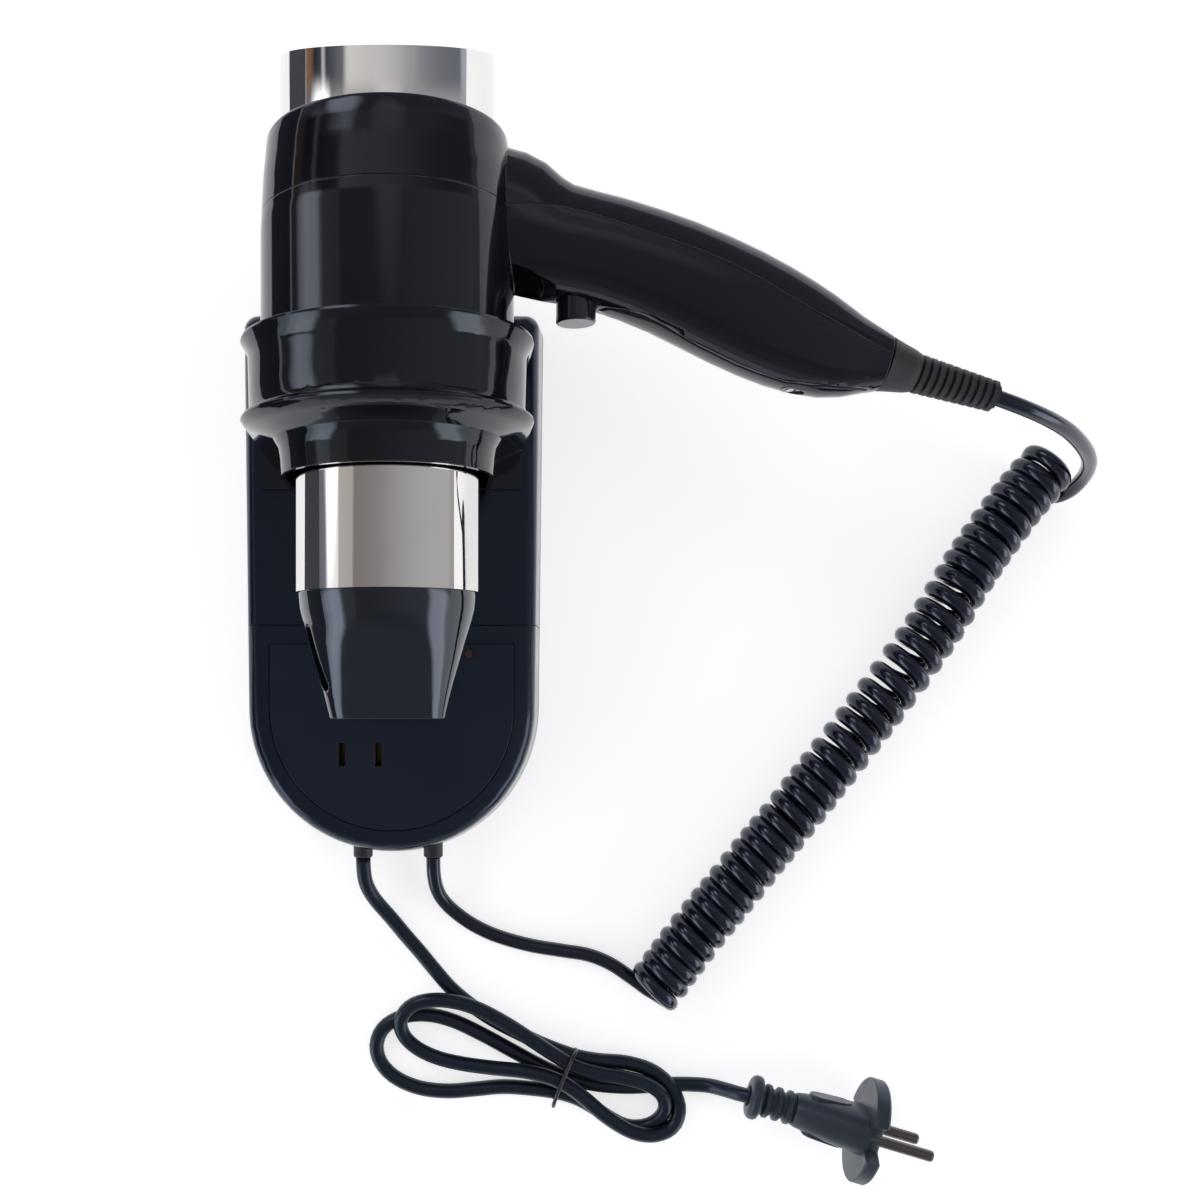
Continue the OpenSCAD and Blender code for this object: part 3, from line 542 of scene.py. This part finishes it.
across = bands(slant(sep.outputs["X"]), [
    (-1.0, (0.16, 0.17, 0.20)), (-0.985, (0.20, 0.21, 0.24)), (-0.965, (1.0, 1.0, 1.0)), (-0.885, (1.0, 1.0, 1.0)), (-0.86, (0.50, 0.47, 0.44)), (-0.68, (0.46, 0.43, 0.41)),
    (-0.62, (0.235, 0.215, 0.21)), (0.02, (0.30, 0.28, 0.27)), (0.42, (0.26, 0.24, 0.235)), (0.50, (0.86, 0.83, 0.80)), (0.80, (0.80, 0.76, 0.73)), (0.88, (0.40, 0.38, 0.37)), (1.0, (0.46, 0.45, 0.47))])
along = bands(slant(sep.outputs["Y"]), [
    (-1.0, (0.55, 0.55, 0.60)), (-0.9, (0.30, 0.30, 0.33)), (-0.5, (0.20, 0.20, 0.215)), (0.4, (0.20, 0.195, 0.20)), (0.66, (0.16, 0.16, 0.18)), (0.74, (0.92, 0.92, 0.95)),
    (0.90, (0.95, 0.95, 0.98)), (0.95, (0.40, 0.40, 0.44)), (1.0, (0.30, 0.30, 0.34))])
side_w = wn.nodes.new("ShaderNodeMapRange"); side_w.interpolation_type = "SMOOTHSTEP"
side_w.inputs["From Min"].default_value, side_w.inputs["From Max"].default_value = 0.44, 0.66
wn.links.new(wmath("ABSOLUTE", sep.outputs["Y"]), side_w.inputs["Value"])
mixer = wn.nodes.new("ShaderNodeMix"); mixer.data_type = "RGBA"
wn.links.new(side_w.outputs[0], mixer.inputs["Factor"])
wn.links.new(across, mixer.inputs[6]); wn.links.new(along, mixer.inputs[7])
total = mixer.outputs[2]


def glow(direction, inner, outer, colour):
    """A soft round patch of light in the sky: full inside one angle, gone past the other, degrees."""
    global total
    d = Vector(direction).normalized()
    dot = wn.nodes.new("ShaderNodeVectorMath"); dot.operation = "DOT_PRODUCT"
    dot.inputs[1].default_value = d
    wn.links.new(wnorm.outputs[0], dot.inputs[0])
    mr = wn.nodes.new("ShaderNodeMapRange"); mr.interpolation_type = "SMOOTHSTEP"
    mr.inputs["From Min"].default_value = math.cos(math.radians(outer))
    mr.inputs["From Max"].default_value = math.cos(math.radians(inner))
    wn.links.new(dot.outputs["Value"], mr.inputs["Value"])
    mul = wn.nodes.new("ShaderNodeVectorMath"); mul.operation = "SCALE"
    mul.inputs[0].default_value = colour
    wn.links.new(mr.outputs[0], mul.inputs["Scale"])
    add = wn.nodes.new("ShaderNodeVectorMath"); add.operation = "ADD"
    wn.links.new(total, add.inputs[0]); wn.links.new(mul.outputs[0], add.inputs[1])
    total = add.outputs[0]


glow((-0.90, 0.30, 0.30), 6, 15, (1.7, 1.7, 1.78))
glow((-0.52, 0.66, 0.54), 6, 17, (2.6, 2.6, 2.75))
glow((0.04, 0.50, 0.86), 6, 17, (0.42, 0.42, 0.44))


def ramp(value, lo, hi):
    m = wn.nodes.new("ShaderNodeMapRange"); m.interpolation_type = "SMOOTHSTEP"
    m.inputs["From Min"].default_value, m.inputs["From Max"].default_value = lo, hi
    wn.links.new(value, m.inputs["Value"])
    return m.outputs[0]


def window(value, a, b, c, d):
    """Rises from a to b, falls from c to d."""
    return wmath("MULTIPLY", ramp(value, a, b), wmath("SUBTRACT", 1.0, ramp(value, c, d)))


def strip(s0, s1, s2, s3, y0, y1, y2, y3, colour):
    """A softbox with soft edges: slant across X, height along Y."""
    global total
    w = wmath("MULTIPLY", window(slant(sep.outputs["X"]), (s0 + 1) / 2, (s1 + 1) / 2, (s2 + 1) / 2, (s3 + 1) / 2), window(sep.outputs["Y"], y0, y1, y2, y3))
    mul = wn.nodes.new("ShaderNodeVectorMath"); mul.operation = "SCALE"
    mul.inputs[0].default_value = colour
    wn.links.new(w, mul.inputs["Scale"])
    add = wn.nodes.new("ShaderNodeVectorMath"); add.operation = "ADD"
    wn.links.new(total, add.inputs[0]); wn.links.new(mul.outputs[0], add.inputs[1])
    total = add.outputs[0]


strip(0.80, 0.90, 0.985, 1.01, -0.80, -0.66, -0.10, -0.03, (2.7, 2.7, 2.75))
strip(-1.01, -0.99, -0.90, -0.82, -0.80, -0.66, -0.10, -0.03, (2.2, 2.25, 2.4))
# the far end of the chrome: paler sky, darker at its left
cap = bands(slant(sep.outputs["X"]), [
    (-1.0, (0.24, 0.13, 0.08)), (-0.985, (0.03, 0.03, 0.035)), (-0.95, (0.05, 0.06, 0.07)), (-0.93, (0.55, 0.55, 0.57)), (-0.90, (0.06, 0.07, 0.08)), (-0.74, (0.14, 0.15, 0.17)),
    (-0.62, (0.70, 0.69, 0.68)), (-0.2, (0.62, 0.61, 0.61)), (0.25, (0.72, 0.72, 0.75)), (0.62, (0.78, 0.79, 0.84)), (0.86, (0.60, 0.62, 0.68)), (0.97, (0.42, 0.44, 0.50)), (1.0, (0.16, 0.17, 0.20))])
cap_mix = wn.nodes.new("ShaderNodeMix"); cap_mix.data_type = "RGBA"
wn.links.new(window(sep.outputs["Y"], 0.385, 0.41, 0.50, 0.56), cap_mix.inputs["Factor"])
wn.links.new(total, cap_mix.inputs[6]); wn.links.new(cap, cap_mix.inputs[7])
total = cap_mix.outputs[2]
wn.links.new(total, bg.inputs[0])
bg.inputs[1].default_value = 1.0
wn.links.new(bg.outputs[0], wo.inputs[0])


def area(name, loc, target, size, power, color=(1, 1, 1), size_y=None):
    d = bpy.data.lights.new(name, "AREA")
    d.energy, d.size, d.color = power, size, color
    if size_y:
        d.shape, d.size_y = "RECTANGLE", size_y
    o = bpy.data.objects.new(name, d)
    o.location = loc
    o.rotation_mode = "QUATERNION"
    o.rotation_quaternion = (Vector(target) - Vector(loc)).to_track_quat("-Z", "Y")
    scene.collection.objects.link(o)
    return o


bpy.ops.mesh.primitive_plane_add(size=1, location=(-0.168, 0.11, 0.045), rotation=(0, math.radians(90), 0))
card = bpy.context.object
card.name = "dark_card"
card.scale = (0.09, 0.42, 1)
cm = bpy.data.materials.new("card_dark"); cm.use_nodes = True
cp = cm.node_tree.nodes["Principled BSDF"]
cp.inputs["Base Color"].default_value = (0.05, 0.055, 0.065, 1)
cp.inputs["Roughness"].default_value = 0.8
card.data.materials.append(cm)
card.visible_camera = card.visible_diffuse = card.visible_shadow = False
